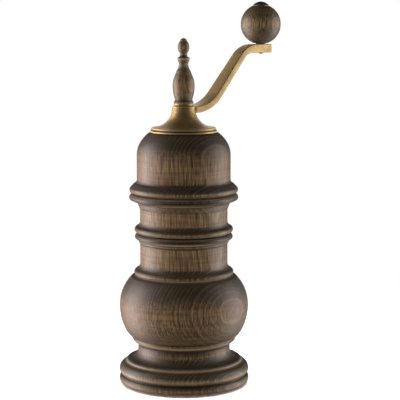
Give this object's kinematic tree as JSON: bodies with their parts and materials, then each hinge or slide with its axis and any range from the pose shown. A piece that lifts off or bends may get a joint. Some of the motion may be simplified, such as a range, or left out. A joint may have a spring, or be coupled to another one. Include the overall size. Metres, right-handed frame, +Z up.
{
  "type": "crank pepper mill",
  "caption": "Tall turned dark-beech pepper mill with a brass S-shaped crank, ball knob, wooden finial and a working burr set.",
  "frame": {"origin": "centre of the foot's underside, on the drive axis", "axes": "+Z up along the drive axis, +X from the drive axis towards the crank's knob at rest"},
  "size_m": [0.1032, 0.0702, 0.2052],
  "materials": {
    "beech_dark": "dark stained beech, waxed satin",
    "brass_antique": "antique brushed brass",
    "steel_zinc": "bright zinc plated",
    "burr_steel": "dark hardened steel",
    "spring_steel": "bright wire",
    "dark_metal": "black lacquered metal, satin",
    "nylon": "natural nylon",
    "fibre": "dark vulcanised fibre"
  },
  "bodies": {
    "base": {"body": "beech_dark", "outer_burr": "burr_steel", "burr_retainer": "steel_zinc", "retainer_screws": "steel_zinc", "shaft_bridge": "steel_zinc", "bridge_screws": "steel_zinc", "bridge_bush": "nylon"},
    "lid": {"lid": "beech_dark", "lid_plate": "steel_zinc", "lid_screws": "steel_zinc", "lid_bush": "brass_antique", "crank_washer": "fibre"},
    "crank": {"crank_arm": "brass_antique", "knob_pin": "dark_metal", "knob_washer": "dark_metal", "knob_cap": "dark_metal"},
    "knob": {"knob_ball": "beech_dark"},
    "finial": {"finial": "beech_dark", "finial_insert": "brass_antique", "finial_ferrule": "brass_antique"},
    "seat": {"spring_seat": "steel_zinc", "burr_spring": "spring_steel"},
    "shaft": {"drive_shaft": "steel_zinc", "inner_burr": "burr_steel", "rotor_washer": "steel_zinc", "rotor_screw": "steel_zinc"}
  },
  "joints": [
    {"name": "lid_lift", "type": "slide", "parent": "base", "child": "lid", "axis": [0, 0, 1], "range_m": [0, 0.085]},
    {"name": "crank_turn", "type": "hinge", "parent": "lid", "child": "crank", "pos_m": [0, 0, 0.136], "axis": [0, 0, 1], "continuous": true},
    {"name": "knob_spin", "type": "hinge", "parent": "crank", "child": "knob", "pos_m": [0.057, 0, 0.193], "axis": [0, 0, 1], "continuous": true},
    {"name": "finial_turn", "type": "hinge", "parent": "crank", "child": "finial", "pos_m": [0, 0, 0.15], "axis": [0, 0, 1], "range_deg": [-360, 360]},
    {"name": "seat_turn", "type": "hinge", "parent": "base", "child": "seat", "pos_m": [0, 0, 0.037], "axis": [0, 0, 1], "continuous": true},
    {"name": "shaft_lift", "type": "slide", "parent": "seat", "child": "shaft", "axis": [0, 0, 1], "range_m": [-0.0008, 0.0008], "deforming": ["burr_spring"]}
  ],
  "couplings": [
    {"joint": "seat_turn", "follows": "crank_turn", "ratio": 1},
    {"joint": "finial_turn", "follows": "shaft_lift", "rad_per_m": -7853}
  ]
}
